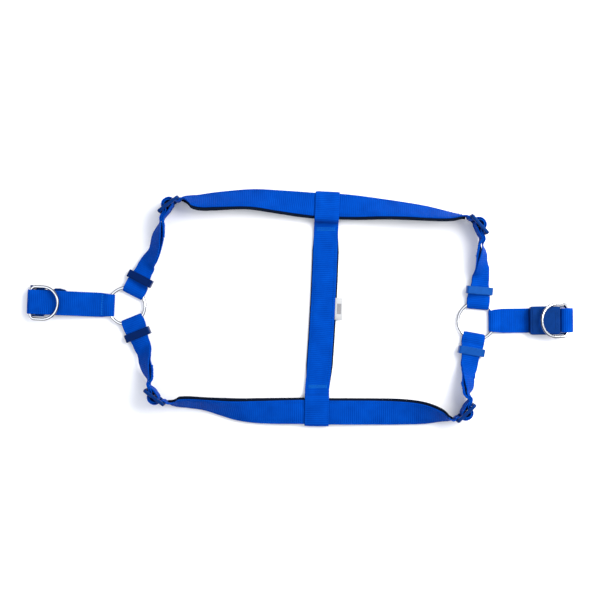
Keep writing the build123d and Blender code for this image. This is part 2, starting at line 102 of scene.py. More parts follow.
LEFT_RING = joint_point("left_ring_swivel")[:2]
RIGHT_RING = joint_point("right_ring_swivel")[:2]
LEFT_TAB_ANGLE = 177.4
RIGHT_TAB_ANGLE = 0.6

# Each corner: ring, the riser's direction, the adjuster's direction, and the riser's bends
# as (x, y, roll).
CORNERS = {
    "upper_left": (
        LEFT_RING, 63.0, 37.0, [(-173.8, 56.0, 50.0), (-168.4, 74.0, 64.0), (-165.6, 86.5, 80.0)]
    ),
    "upper_right": (
        RIGHT_RING, 85.0, -48.0, [(162.0, 44.5, 52.0), (162.0, 56.0, 68.0), (161.6, 66.0, 84.0)]
    ),
    "lower_left": (
        LEFT_RING, -68.0, -37.0,
        [(-182.4, -52.5, 52.0), (-178.6, -66.0, 70.0), (-177.6, -75.0, 86.0)]
    ),
    "lower_right": (
        RIGHT_RING, -100.0, 44.0, [(148.4, -68.0, 50.0), (147.8, -80.0, 64.0), (147.6, -88.0, 80.0)]
    ),
}

# Each main run from its adjuster towards the crossbar: (x, y, roll).
RUNS = {
    "upper_left": [
        (-137.0, 111.6, 68.0), (-126.0, 110.6, 56.0), (-111.2, 111.7, 50.0), (-75.2, 113.8, 41.0),
        (-44.3, 111.0, 28.0)
    ],
    "upper_right": [
        (132.0, 95.8, 74.0), (110.0, 98.6, 60.0), (82.0, 102.0, 50.0), (58.7, 103.9, 40.0)
    ],
    "lower_left": [
        (-150.0, -96.8, 72.0), (-138.0, -97.0, 66.0), (-122.0, -98.6, 62.0), (-104.0, -101.8, 50.0),
        (-85.5, -104.8, 34.0), (-64.9, -106.2, 20.0)
    ],
    "lower_right": [
        (120.0, -110.2, 62.0), (104.0, -108.4, 36.0), (86.0, -107.4, 20.0), (58.7, -107.0, 8.0)
    ],
}

CROSSINGS = {"upper": ((4.3, 106.8), 16.0, -2.5), "lower": ((-6.5, -106.4), 5.0, -1.0)}
CROSSING_UNDER = 2.9
CROSS_Z = 2.6 + 0.8  # the crossbar webbing's middle
CROSS_SEAM_Y = 84.0
CROSS_POINTS = [(-5.9, -CROSS_SEAM_Y), (0.0, 3.8), (3.1, CROSS_SEAM_Y)]

# The riser's way in to its fold at the ring: (distance from the ring's middle, height above it).
RING_WAY = [(21.4, 2.05), (18.8, 2.6), (16.6, 2.42), (14.6, 1.8), (13.3, 0.9)]

# The strap's way over an adjuster's middle bar, and its way back round that bar: (along, outward).
GLIDE_OVER = [
    (11.3, -2.95), (9.4, -2.6), (7.7, -1.1), (6.9, 1.0), (6.3, 3.2), (4.3, 5.5),
    (1.0, 6.6), (-2.4, 6.3), (-5.0, 4.6), (-6.3, 2.4), (-6.8, 0.4), (-7.8, -1.7),
]
GLIDE_BACK = [
    (-5.9, -3.1), (-4.9, -0.9), (-4.7, 1.4), (-3.4, 3.9), (-0.8, 5.0), (2.2, 4.5),
    (4.4, 2.4), (4.4, -0.4), (2.4, -2.8), (-1.4, -4.1), (-5.0, -5.4),
]

# The riser's share of its full width, by distance from the ring's middle.
RISER_WIDTHS = (
    (12.5, 16.0, 24.0, 29.0, 34.0, 40.0, 52.0, 66.0, 80.0),
    (0.86, 0.92, 0.94, 0.90, 0.80, 0.73, 0.76, 0.84, 0.95),
)
RISER_SLACK = 1.7  # how far the riser's two layers part at most
SLACK_START = 14  # rows from the adjuster that stay together


# ---- routes --------------------------------------------------------------------------------


def polar(origin, angle, distance, aside=0.0):
    """A point at a distance from origin in a direction, and aside to the left of it."""
    a = math.radians(angle)
    x = origin[0] + distance * math.cos(a) - aside * math.sin(a)
    y = origin[1] + distance * math.sin(a) + aside * math.cos(a)
    return np.array([x, y])


def row(x, y, z, across):
    """One control row of a route: a point and the direction across the ribbon."""
    return np.array([x, y, z, *across], float)


def smooth_rows(rows, step):
    """A centripetal Catmull-Rom line through the rows, resampled evenly along its length."""
    rows = np.array(rows, float)
    rows = np.vstack([2 * rows[0] - rows[1], rows, 2 * rows[-1] - rows[-2]])
    dense = []
    for i in range(1, len(rows) - 2):
        p = rows[i - 1 : i + 3]
        t = [0.0]
        for k in range(3):
            t.append(t[-1] + max(np.linalg.norm(p[k + 1][:3] - p[k][:3]), 1e-6) ** 0.5)
        count = max(4, int((t[2] - t[1]) ** 2 / (step * 0.5)))
        for s in np.linspace(t[1], t[2], count, endpoint=False):
            a1 = p[0] + (p[1] - p[0]) * (s - t[0]) / (t[1] - t[0])
            a2 = p[1] + (p[2] - p[1]) * (s - t[1]) / (t[2] - t[1])
            a3 = p[2] + (p[3] - p[2]) * (s - t[2]) / (t[3] - t[2])
            b1 = a1 + (a2 - a1) * (s - t[0]) / (t[2] - t[0])
            b2 = a2 + (a3 - a2) * (s - t[1]) / (t[3] - t[1])
            dense.append(b1 + (b2 - b1) * (s - t[1]) / (t[2] - t[1]))
    dense.append(rows[-2])
    dense = np.array(dense)
    run = np.concatenate([[0.0], np.cumsum(np.linalg.norm(np.diff(dense[:, :3], axis=0), axis=1))])
    even = np.linspace(0.0, run[-1], max(4, int(round(run[-1] / step)) + 1))
    return np.column_stack([np.interp(even, run, dense[:, k]) for k in range(dense.shape[1])])


def frames(rows):
    """Place, forward, across and face directions at each row."""
    place = rows[:, :3]
    forward = np.gradient(place, axis=0)
    forward /= np.linalg.norm(forward, axis=1)[:, None]
    across = rows[:, 3:6] - forward * np.sum(rows[:, 3:6] * forward, axis=1)[:, None]
    across /= np.linalg.norm(across, axis=1)[:, None]
    face = np.cross(across, forward)
    return place, forward, across, face


def shifted(rows, up=0.0, aside=0.0):
    """The same rows moved through the ribbon's face, and across it; up may be a number for each row."""
    place, _, across, face = frames(rows)
    moved = rows.copy()
    moved[:, :3] = place + face * np.broadcast_to(up, len(rows))[:, None] + across * aside
    return moved


def thinned(rows, spacing):
    """Every so many rows, with the first and the last."""
    every = max(1, int(spacing / STEP))
    keep = list(range(0, len(rows) - 1, every))
    if len(rows) - 1 - keep[-1] < every / 2 and len(keep) > 1:
        keep.pop()
    return rows[keep + [len(rows) - 1]]


# ---- meshes --------------------------------------------------------------------------------


def new_mesh(name, vertices, faces, material, web):
    """A smooth mesh object from millimetres, with an (along, across, side) attribute."""
    mesh = bpy.data.meshes.new(name)
    points = [tuple(v * MM) for v in np.asarray(vertices, float)]
    mesh.from_pydata(points, [], [tuple(int(i) for i in f) for f in faces])
    attribute = mesh.attributes.new("web", "FLOAT_VECTOR", "POINT")
    attribute.data.foreach_set("vector", np.asarray(web, np.float32).ravel())
    mesh.validate()
    mesh.update()
    obj = bpy.data.objects.new(name, mesh)
    bpy.context.scene.collection.objects.link(obj)
    obj.data.materials.append(material)
    mesh.shade_smooth()
    return obj


def tube_faces(rows, around, closed=False):
    """Quads between rings of vertices, with caps where the tube is open."""
    faces = []
    spans = rows if closed else rows - 1
    for i in range(spans):
        a, b = i * around, ((i + 1) % rows) * around
        for k in range(around):
            n = (k + 1) % around
            faces.append((a + k, a + n, b + n, b + k))
    if not closed:
        faces.append(tuple(reversed(range(around))))
        faces.append(tuple(range((rows - 1) * around, rows * around)))
    return faces


def web_profile(width, thick, selvedge=1.9):
    """Half thickness at places across a strap: rounded edges, a groove inside each selvedge."""
    half = width / 2
    edge = [
        (0.0, 0.0), (0.12, 0.42), (0.45, 0.80), (1.0, 0.93), (selvedge - 0.35, 0.90),
        (selvedge, 0.78), (selvedge + 0.45, 1.0)
    ]
    left = [(-half + d, h * thick / 2) for d, h in edge]
    inner = half - selvedge - 0.45
    middle = [(inner * s, thick / 2) for s in (-0.6, -0.2, 0.2, 0.6)]
    right = [(-a, h) for a, h in reversed(left)]
    return left + middle + right


def ribbon(
    name, rows, material, width=WEB_W, thick=WEB_T, ribs=True, widths=None, wander=0.0,
    profile=web_profile
):
    """A strap along a route. widths scales it per row, and wander lets its edges drift."""
    place, _, across, face = frames(rows)
    count = len(rows)
    outline = profile(width, thick)
    loop = outline + [(a, -h) for a, h in reversed(outline[1:-1])]
    a = np.array([p[0] for p in loop])
    h = np.array([p[1] for p in loop])
    inside = np.clip((width / 2 - np.abs(a) - 1.2) / 1.2, 0.25, 1.0) * np.sign(h)
    along = np.arange(count) * STEP
    scale = np.ones(count) if widths is None else np.asarray(widths)
    wave = RIB_HEIGHT * np.cos(2 * math.pi * along / RIB_PITCH) if ribs else np.zeros(count)
    phase = RNG.uniform(0, 6.28)
    drift = wander * (np.sin(along / 19.0 + phase) + 0.6 * np.sin(along / 7.3 + 2 * phase))
    edgeward = (np.abs(a) / (width / 2))[None, :] ** 2
    lift = h[None, :] + wave[:, None] * inside[None, :] + drift[:, None] * edgeward
    spread = a[None, :] * scale[:, None]
    at_edge = (np.abs(a) > width / 2 - 0.5) * np.sign(a)
    edge_wave = 0.06 * np.sin(2 * math.pi * along / RIB_PITCH)[:, None] * at_edge[None, :]
    sideways = spread + (edge_wave if ribs else 0)
    points = place[:, None, :] + across[:, None, :] * sideways[:, :, None]
    points = points + face[:, None, :] * lift[:, :, None]
    web = np.stack(np.broadcast_arrays(along[:, None], a[None, :], np.sign(h)[None, :]), axis=2)
    return new_mesh(
        name, points.reshape(-1, 3), tube_faces(count, len(loop)), material, web.reshape(-1, 3)
    )


def tube(name, points, radius, material, around=20, up=(0, 0, 1)):
    """Round wire along a closed line of points."""
    points = np.asarray(points, float)
    ahead = np.roll(points, -1, axis=0) - np.roll(points, 1, axis=0)
    ahead /= np.linalg.norm(ahead, axis=1)[:, None]
    side = np.cross(ahead, np.asarray(up, float))
    side /= np.linalg.norm(side, axis=1)[:, None]
    over = np.cross(side, ahead)
    radii = np.broadcast_to(radius, len(points))
    angles = np.linspace(0, 2 * math.pi, around, endpoint=False)
    ring = points[:, None, :] + radii[:, None, None] * (
        side[:, None, :] * np.cos(angles)[None, :, None]
        + over[:, None, :] * np.sin(angles)[None, :, None]
    )
    run = np.concatenate([[0.0], np.cumsum(np.linalg.norm(np.diff(points, axis=0), axis=1))])
    web = np.stack(
        np.broadcast_arrays(run[:, None], (angles * 2)[None, :], np.zeros((1, 1))), axis=2
    )
    return new_mesh(
        name, ring.reshape(-1, 3), tube_faces(len(points), around, closed=True), material,
        web.reshape(-1, 3)
    )


def stitches(name, places, material, length=2.2, radius=0.26):
    """Thread lengths that rise out of the cloth and dive back in: (place, direction, normal) each."""
    vertices, faces, web = [], [], []
    shape = [
        (-0.5, -0.5, 0.55), (-0.36, 0.3, 0.95), (0.0, 0.55, 1.0), (0.36, 0.3, 0.95),
        (0.5, -0.5, 0.55)
    ]
    around = 6
    for number, (place, direction, normal) in enumerate(places):
        direction = direction / np.linalg.norm(direction)
        side = np.cross(direction, normal)
        side /= np.linalg.norm(side)
        skew = side * RNG.uniform(-0.08, 0.08)
        base = len(vertices)
        for along, lift, fat in shape:
            middle = place + (direction + skew) * along * length + normal * lift * radius
            for k in range(around):
                angle = 2 * math.pi * k / around
                vertices.append(
                    middle + radius * fat * (side * math.cos(angle) + normal * math.sin(angle))
                )
                web.append((along * length + number * 3.1, angle, 1.0))
        faces += [tuple(i + base for i in f) for f in tube_faces(len(shape), around)]
    return new_mesh(name, vertices, faces, material, web)


def edge_stitches(name, rows, offsets, material, pitch=3.1, margin=2.0):
    """Rows of running stitch along a ribbon, at distances across it."""
    place, forward, across, face = frames(rows)
    lean = face[:, 2].mean()
    if abs(lean) > 0.2:
        face = face * np.sign(lean)
    places = []
    for offset in offsets:
        start = margin + RNG.uniform(0, pitch)
        for distance in np.arange(start, len(rows) * STEP - margin, pitch):
            i = min(int(distance / STEP), len(rows) - 1)
            spot = place[i] + across[i] * (offset + RNG.uniform(-0.08, 0.08))
            places.append((spot, forward[i], face[i]))
    return stitches(name, places, material)


# ---- materials -----------------------------------------------------------------------------


class Nodes:
    """A short way to write a material's nodes."""

    def __init__(self, name):
        self.material = bpy.data.materials.new(name)
        self.material.use_nodes = True
        self.tree = self.material.node_tree
        self.shader = self.tree.nodes["Principled BSDF"]

    def node(self, kind, **settings):
        made = self.tree.nodes.new(kind)
        for key, value in settings.items():
            setattr(made, key, value)
        return made

    def link(self, source, target):
        self.tree.links.new(source, target)

    def math(self, operation, first, second=0.0, third=None):
        made = self.node("ShaderNodeMath", operation=operation)
        for socket, value in zip(made.inputs, (first, second, third)):
            if value is None:
                continue
            if isinstance(value, (int, float)):
                socket.default_value = value
            else:
                self.link(value, socket)
        return made.outputs[0]

    def place(self):
        """The (along, across, side) attribute, as three sockets."""
        attribute = self.node("ShaderNodeAttribute", attribute_name="web")
        split = self.node("ShaderNodeSeparateXYZ")
        self.link(attribute.outputs["Vector"], split.inputs[0])
        return attribute.outputs["Vector"], split.outputs[0], split.outputs[1]

    def noise(self, vector, scale, detail=3.0, rough=0.55):
        made = self.node("ShaderNodeTexNoise")
        made.inputs["Scale"].default_value = scale
        made.inputs["Detail"].default_value = detail
        made.inputs["Roughness"].default_value = rough
        self.link(vector, made.inputs["Vector"])
        return made.outputs["Fac"]

    def object_place(self):
        return self.node("ShaderNodeTexCoord").outputs["Object"]

    def ramp(self, value, stops):
        made = self.node("ShaderNodeValToRGB")
        ramp = made.color_ramp
        while len(ramp.elements) < len(stops):
            ramp.elements.new(0.5)
        for element, (at, colour) in zip(ramp.elements, stops):
            element.position = at
            element.color = (*colour, 1.0)
        self.link(value, made.inputs[0])
        return made.outputs[0]

    def bump(self, height, strength, distance):
        made = self.node("ShaderNodeBump")
        made.inputs["Strength"].default_value = strength
        made.inputs["Distance"].default_value = distance
        self.link(height, made.inputs["Height"])
        self.link(made.outputs[0], self.shader.inputs["Normal"])

    def set(self, **values):
        for key, value in values.items():
            self.shader.inputs[key.replace("_", " ")].default_value = value


def webbing_material():
    """Ribbed nylon webbing: weft ribs across it and fine warp ends along it."""
    n = Nodes("blue_webbing")
    vector, along, across = n.place()
    rib = n.math("COSINE", n.math("MULTIPLY", along, 2 * math.pi / RIB_PITCH))
    warp_pitch = 0.62
    warp = n.math("SINE", n.math("MULTIPLY", across, 2 * math.pi / warp_pitch))
    column = n.math("FLOOR", n.math("DIVIDE", across, warp_pitch))
    stagger = n.math(
        "COSINE",
        n.math(
            "ADD", n.math("MULTIPLY", along, 2 * math.pi / RIB_PITCH),
            n.math("MULTIPLY", column, math.pi)
        )
    )
    fibre = n.noise(vector, 2.6, 4.0)
    patch = n.noise(vector, 0.06, 2.0)
    height = n.math("ADD", n.math("MULTIPLY", rib, 0.5), n.math("MULTIPLY", warp, 0.16))
    height = n.math("ADD", height, n.math("MULTIPLY", stagger, 0.2))
    height = n.math("ADD", height, n.math("MULTIPLY", fibre, 0.35))
    n.bump(height, 0.55, 0.00022)
    # Painted shade: the colour follows the weave's height, darker in the rib valleys and between warp ends; the
    # fibre noise and the large patches are random tone.
    hollow_shade_and_patches = n.math("MULTIPLY_ADD", height, 0.22, 0.42)
    hollow_shade_and_patches = n.math("ADD", hollow_shade_and_patches, n.math("MULTIPLY", n.math("SUBTRACT", patch, 0.5), 0.5))
    colour = n.ramp(
        hollow_shade_and_patches,
        [(0.0, (0.0003, 0.018, 0.15)), (0.5, (0.0006, 0.048, 0.34)), (1.0, (0.0012, 0.087, 0.52))]
    )
    n.link(colour, n.shader.inputs["Base Color"])
    rough = n.math("MULTIPLY_ADD", fibre, 0.2, 0.65)
    n.link(rough, n.shader.inputs["Roughness"])
    n.set(Specular_IOR_Level=0.06, Specular_Tint=(0.01, 0.3, 1.0, 1.0))
    return n.material


def thread_material(name, dark, light):
    """Twisted sewing thread."""
    n = Nodes(name)
    _, along, around = n.place()
    twist = n.math("SINE", n.math("ADD", n.math("MULTIPLY", along, 9.0), around))
    # Painted shade: the colour follows the twist, darker in the grooves between the plies.
    n.link(
        n.ramp(n.math("MULTIPLY_ADD", twist, 0.5, 0.5), [(0.0, dark), (1.0, light)]),
        n.shader.inputs["Base Color"]
    )
    n.bump(twist, 0.4, 0.0001)
    n.set(Roughness=0.5, Specular_IOR_Level=0.1, Specular_Tint=(0.02, 0.4, 1.0, 1.0))
    return n.material


def neoprene_material():
    """Foam rubber with a knitted face: tiny loops, dusty black."""
    n = Nodes("black_neoprene")
    vector, along, across = n.place()
    loops = n.math(
        "MULTIPLY", n.math("SINE", n.math("MULTIPLY", along, 7.5)),
        n.math("SINE", n.math("MULTIPLY", across, 9.0))
    )
    grain = n.noise(vector, 1.7, 4.0)
    height = n.math("ADD", loops, n.math("MULTIPLY", grain, 0.8))
    n.bump(height, 0.5, 0.00015)
    n.link(
        n.ramp(grain, [(0.25, (0.0018, 0.0034, 0.009)), (0.8, (0.006, 0.010, 0.024))]),
        n.shader.inputs["Base Color"]
    )
    n.set(Roughness=0.9, Specular_IOR_Level=0.05, Specular_Tint=(0.3, 0.5, 1.0, 1.0))
    return n.material


def plastic_material(name, dark, light):
    """Moulded acetal in the strap's blue: spark-eroded grain, small scuffs."""
    n = Nodes(name)
    place = n.object_place()
    grain = n.noise(place, 2600.0, 2.0)
    scuff = n.noise(place, 180.0, 5.0, 0.7)
    n.bump(n.math("ADD", grain, n.math("MULTIPLY", scuff, 0.6)), 0.22, 0.00012)
    n.link(n.ramp(scuff, [(0.3, dark), (0.72, light)]), n.shader.inputs["Base Color"])
    n.link(n.math("MULTIPLY_ADD", scuff, 0.3, 0.2), n.shader.inputs["Roughness"])
    n.set(Specular_IOR_Level=0.3, Specular_Tint=(0.1, 0.42, 1.0, 1.0))
    return n.material


def steel_material():
    """Nickel-plated wire, faintly drawn, with small dull spots; its colour is painted bright on top and dark on
    its flanks, a painted highlight and painted reflection.
    """
    n = Nodes("steel_wire")
    vector, _, around = n.place()
    spots = n.noise(vector, 0.9, 5.0, 0.65)
    drawn = n.noise(n.object_place(), 900.0, 2.0)
    n.bump(n.math("ADD", drawn, spots), 0.08, 0.00008)
    # Painted highlight and painted reflection: the base colour follows the way round the wire, bright on top,
    # dark on the flanks and a little paler at the very side, mixed with the dull spots.
    flank = n.math("ABSOLUTE", n.math("COSINE", n.math("MULTIPLY", around, 0.5)))
    painted_reflection_and_spots = n.math("MULTIPLY_ADD", n.math("SUBTRACT", spots, 0.5), 0.25, flank)
    tone = n.ramp(
        painted_reflection_and_spots,
        [
            (0.42, (0.80, 0.81, 0.83)), (0.62, (0.07, 0.07, 0.08)), (0.9, (0.09, 0.09, 0.105)),
            (1.0, (0.20, 0.20, 0.22))
        ]
    )
    n.link(tone, n.shader.inputs["Base Color"])
    n.link(n.math("MULTIPLY_ADD", spots, 0.22, 0.06), n.shader.inputs["Roughness"])
    n.set(Metallic=1.0)
    return n.material


def label_material():
    """White satin tape with a plain grey woven block and no lettering."""
    n = Nodes("label_tape")
    vector, along, across = n.place()
    weave = n.math(
        "MULTIPLY", n.math("SINE", n.math("MULTIPLY", along, 14.0)),
        n.math("SINE", n.math("MULTIPLY", across, 14.0))
    )
    near = n.math("LESS_THAN", n.math("ABSOLUTE", n.math("SUBTRACT", along, 4.4)), 2.3)
    middle = n.math("LESS_THAN", n.math("ABSOLUTE", across), 5.4)
    block = n.math("MULTIPLY", near, middle)
    speck = n.noise(vector, 1.4, 3.0)
    tone = n.math(
        "SUBTRACT", 0.95, n.math("MULTIPLY", block, n.math("MULTIPLY_ADD", speck, 0.4, 0.45))
    )
    n.link(
        n.ramp(tone, [(0.0, (0.09, 0.085, 0.095)), (1.0, (0.41, 0.415, 0.42))]),
        n.shader.inputs["Base Color"]
    )
    n.bump(weave, 0.3, 0.00008)
    n.set(Roughness=0.45, Specular_IOR_Level=0.3, Sheen_Weight=0.1)
    return n.material


WEBBING = webbing_material()
NEOPRENE = neoprene_material()
PLASTIC = plastic_material("blue_plastic", (0.0004, 0.012, 0.088), (0.0009, 0.019, 0.14))
# Lit and shaded copies of the blue plastic for the keepers: a darker one as painted shade for the left keepers, a
# paler one as painted light for the right keepers.
PAINTED_SHADE_PLASTIC = plastic_material(
    "painted_shade_blue_plastic", (0.0002, 0.0040, 0.050), (0.0004, 0.0062, 0.074)
)
PAINTED_LIGHT_PLASTIC = plastic_material("painted_lit_blue_plastic", (0.0022, 0.036, 0.19), (0.0044, 0.051, 0.25))
STEEL = steel_material()
LABEL = label_material()
THREAD = thread_material("blue_thread", (0.0005, 0.034, 0.25), (0.0011, 0.064, 0.39))
TACK_THREAD = thread_material("pale_blue_thread", (0.0023, 0.09, 0.40), (0.015, 0.20, 0.62))


# ---- side straps ---------------------------------------------------------------------------


def outer_sign(corner):
    """Which side of a run from left to right the strap's outer edge is on."""
    return 1 if corner.startswith("upper") else -1


def rolled(point, heading, roll, sign, z):
    """A control row of a strap that runs in a heading, rolled about its length."""
    h, r = math.radians(heading), math.radians(roll)
    outward = np.array([-math.sin(h), math.cos(h), 0.0]) * sign
    across = -outward * math.cos(r) + np.array([0.0, 0.0, math.sin(r)])
    return row(point[0], point[1], z, across)


def headings(points):
    """The direction at each point of a line on the ground."""
    ahead = np.gradient(np.array(points, float)[:, :2], axis=0)
    return np.degrees(np.arctan2(ahead[:, 1], ahead[:, 0]))


class Corner:
    """One corner of the harness: ring, riser, keeper and adjuster, and the strap's way through them."""

    def __init__(self, name):
        self.name = name
        self.ring, self.riser, self.glide_angle, self.bends = CORNERS[name]
        self.sign = outer_sign(name)
        self.left = name.endswith("left")
        self.glide = box_centre(f"{name}_tri_glide")[:2]
        self.keeper = box_centre(f"{name}_keeper")

    def in_glide(self, along, outward):
        """A row in the adjuster's own directions; along grows from the riser's side to the main run's."""
        towards = 1 if self.left else -1
        point = polar(self.glide, self.glide_angle, along * towards, outward * self.sign)
        return row(point[0], point[1], GLIDE_Z, (0.0, 0.0, 1.0))

    def riser_base(self):
        """The middle of the doubled riser, from the adjuster to the ring pocket."""
        rows = [self.in_glide(-9.0, GLIDE_BESIDE), self.in_glide(-13.5, GLIDE_BESIDE - 1.3)]
        line = [(x, y) for x, y, _ in self.bends]
        ends = [polar(self.ring, self.riser, d) for d in (50.0, 27.0, 24.5)]
        path = list(reversed(line)) + ends
        travel = headings(path) + (180.0 if self.left else 0.0)
        for (x, y, roll), heading in zip(reversed(self.bends), travel):
            rows.append(rolled((x, y), heading, roll, self.sign, WEB_W / 2 * math.sin(math.radians(roll)) + 3.0))
        flat = self.riser if self.left else self.riser + 180
        keeper_z = self.keeper[2]
        for distance, roll, z in (
            (51.0, 36.0, keeper_z + 2.3), (46.0, 17.0, keeper_z + 0.4), (42.0, 12.3, keeper_z),
            (29.0, 12.0, keeper_z), (24.5, 4.0, 4.3)
        ):
            rows.append(rolled(polar(self.ring, self.riser, distance), flat, roll, self.sign, z))
        return smooth_rows(rows, STEP)

    def ring_fold(self, upper):
        """Rows over or under the ring's wire, in to the fold."""
        flat = self.riser if self.left else self.riser + 180
        over = 1 if upper else -1
        rows = []
        for distance, height in RING_WAY:
            point = polar(self.ring, self.riser, distance)
            rows.append(rolled(point, flat, 0.0, self.sign, RING_Z + over * height))
        return rows

    def riser_rows(self):
        """Over the adjuster's middle bar, to the ring, back, round the bar, to the sewn end."""
        base = self.riser_base()
        outer_face = outward_face(base)
        length = len(base)
        share = (np.arange(length) - SLACK_START) / (length * 0.5 - SLACK_START)
        slack = RISER_SLACK * np.sin(np.clip(share, 0, 1) * math.pi) ** 1.5
        half = LAYER / 2
        back = thinned(shifted(base, up=outer_face * (half + slack)), 6.0)
        out = thinned(shifted(base, up=-outer_face * (half + 0.45 * slack)), 6.0)
        tail_length = int(24.0 / STEP)
        tail = thinned(shifted(base[:tail_length], up=-outer_face * (half + LAYER)), 6.0)
        fold = polar(self.ring, self.riser, 12.9)
        flat = self.riser if self.left else self.riser + 180
        rows = [self.in_glide(u, w) for u, w in GLIDE_OVER]
        rows += list(back)
        rows += self.ring_fold(upper=True)
        rows.append(rolled(fold, flat, 0.0, self.sign, RING_Z))
        rows += list(reversed(self.ring_fold(upper=False)))
        rows += list(reversed(out))
        rows += [self.in_glide(u, w) for u, w in GLIDE_BACK]
        rows += list(tail)[1:]
        return smooth_rows(rows, STEP)

    def build_riser(self):
        """The doubled riser and the stitches of its sewn end, in place of the CAD side strap."""
        rows = self.riser_rows()
        distance = np.linalg.norm(rows[:, :2] - np.array(self.ring)[None, :], axis=1)
        widths = np.interp(distance, *RISER_WIDTHS)
        name = f"{self.name}_riser_webbing"
        riser = ribbon(name, rows, WEBBING, widths=widths)
        end = self.riser_base()[int(8.0 / STEP)][:3]
        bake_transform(riser)
        self.finish_soft()
        self.sew_tail()

    def sew_tail(self):
        """The bar of stitches that holds the strap's sewn end under the riser."""
        base = self.riser_base()
        place, _, across, face = frames(base)
        outer_face = outward_face(base)
        places = []
        for along in (13.0, 16.0, 22.5):
            i = int(along / STEP)
            for a in np.arange(-9.6, 9.7, 2.4):
                under = LAYER * 1.5 + WEB_T / 2 + 0.02
                spot = place[i] + across[i] * a - outer_face * face[i] * under
                places.append((spot, across[i], -outer_face * face[i]))
        sewn = stitches(f"{self.name}_sewn_end_stitches", places, THREAD)
        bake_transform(sewn)

    def finish_soft(self):
        strap = "upper_side_strap" if self.sign > 0 else "lower_side_strap"
        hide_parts(strap)

    def run_rows(self):
        """The main run from the adjuster to the middle of the crossbar's loop."""
        run = RUNS[self.name]
        crossing, roll, heading = CROSSINGS["upper" if self.sign > 0 else "lower"]
        line = [(x, y) for x, y, _ in run]
        half = -1 if self.left else 1
        inner = [polar(crossing, heading, half * 15.0), polar(crossing, heading, half * 0.02)]
        travel = headings(line + inner) + (0.0 if self.left else 180.0)
        rows = [self.in_glide(11.3, -2.95), self.in_glide(13.8, -2.95)]
        for (x, y, r), way in zip(run, travel):
            rows.append(rolled((x, y), way, r, self.sign, lying_height(r)))
        z = crossing_height(roll)
        rows += [rolled(point, heading, roll, self.sign, z) for point in inner]
        return smooth_rows(rows, STEP)

    def blend_run(self, piece):
        """Bakes the piece's transform into its mesh."""
        rows = self.run_rows()
        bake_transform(piece)

    def build_run(self):
        rows = self.run_rows()
        webbing = ribbon(f"{self.name}_main_webbing", rows, WEBBING, wander=0.12)
        self.blend_run(webbing)
        self.finish_soft()
        begin = int(5.5 / STEP)
        lined = rows[begin:]
        sink = outward_face(lined) * LINING_SINK
        under = shifted(lined, up=-sink, aside=LINING_SHIFT)
        lining = ribbon(
            f"{self.name}_lining", under, NEOPRENE, LINING_W, LINING_T, ribs=False, wander=0.25,
            profile=foam_profile
        )
        self.blend_run(lining)
        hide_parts("upper_lining" if self.sign > 0 else "lower_lining")
        seam = edge_stitches(
            f"{self.name}_edge_stitches",
            shifted(lined, up=outward_face(lined) * (WEB_T / 2 + SEAM_LIFT)), (-9.9, 9.9), THREAD
        )
        self.blend_run(seam)


def foam_profile(width, thick):
    """A foam strip's outline: soft round edges, flat middle."""
    half = width / 2
    edge = [(0.0, 0.0), (0.15, 0.5), (0.55, 0.82), (1.3, 1.0)]
    left = [(-half + d, h * thick / 2) for d, h in edge]
    middle = [(half * s, thick / 2) for s in (-0.55, -0.18, 0.18, 0.55)]
    return left + middle + [(-a, h) for a, h in reversed(left)]


def outward_face(rows):
    """1 where the ribbon's face direction is its top, and -1 where it is its underside."""
    face = frames(rows)[3]
    return np.sign(face[-1][2]) or 1.0


def lying_height(roll):
    """Height of the strap's middle with its lining resting on the ground, at this roll."""
    return WEB_W / 2 * math.sin(math.radians(roll)) + LINED_DEPTH * math.cos(math.radians(roll)) + 0.2


def crossing_height(roll):
    """Height of the strap's middle inside the crossbar's end loop."""
    return CROSSING_UNDER + 12.4 * math.sin(math.radians(roll)) + LINED_DEPTH * math.cos(math.radians(roll)) - 0.8


# ---- crossbar ------------------------------------------------------------------------------


def crossbar_end(which):
    """Rows of the end loop, from its sewn end under the seam, round the side strap, to the seam."""
    crossing, roll, heading = CROSSINGS[which]
    side = 1 if which == "upper" else -1
    seam = CROSS_POINTS[2] if side > 0 else CROSS_POINTS[0]
    angle = heading + 90 * side
    a = math.radians(angle)
    reach = abs((crossing[0] - seam[0]) * math.cos(a) + (crossing[1] - seam[1]) * math.sin(a))
    base = np.array(crossing) - reach * np.array([math.cos(a), math.sin(a)])
    tilt = math.radians(roll)
    height = crossing_height(roll)

    def at(inward, up):
        """A point of the loop, from the side strap's own directions."""
        u = reach - inward * math.cos(tilt) + up * math.sin(tilt)
        return u, height + inward * math.sin(tilt) + up * math.cos(tilt)

    top = CROSS_Z
    way = [
        (-2.0, top - LAYER), (1.5, top - LAYER - 0.1), (6.0, 1.4), at(9.5, -4.5), at(0.0, -4.42),
        at(-9.5, -4.3), at(-13.0, -3.5), at(-13.95, -1.3), at(-12.8, 1.1), at(-9.5, 1.85),
        at(0.0, 1.85), at(10.0, 1.85), at(13.6, 1.55), at(16.6, -0.4), (4.2, top + 2.0),
        (1.4, top + 0.35), (-1.5, top)
    ]
    across = (math.sin(a), -math.cos(a), 0.0)
    return [row(*(polar(base, angle, u)), z, across) for u, z in way]


def crossbar_rows():
    """The whole crossbar: upper loop, flat run, lower loop."""
    upper, lower = crossbar_end("upper"), crossbar_end("lower")
    flip = [np.concatenate([r[:3], -r[3:]]) for r in lower]
    z = CROSS_Z
    middle = []
    for y in (68.0, 45.0, 20.0, 3.8, -14.0, -40.0, -66.0):
        middle.append(row(crossbar_x(y), y, z, upper[0][3:]))
    return smooth_rows(upper + middle + list(reversed(flip)), STEP)


def crossbar_x(y):
    """The crossbar's gently bowed middle line."""
    (x0, y0), (x1, y1), (x2, y2) = CROSS_POINTS
    return float(np.polyval(np.polyfit([y0, y1, y2], [x0, x1, x2], 2), y))


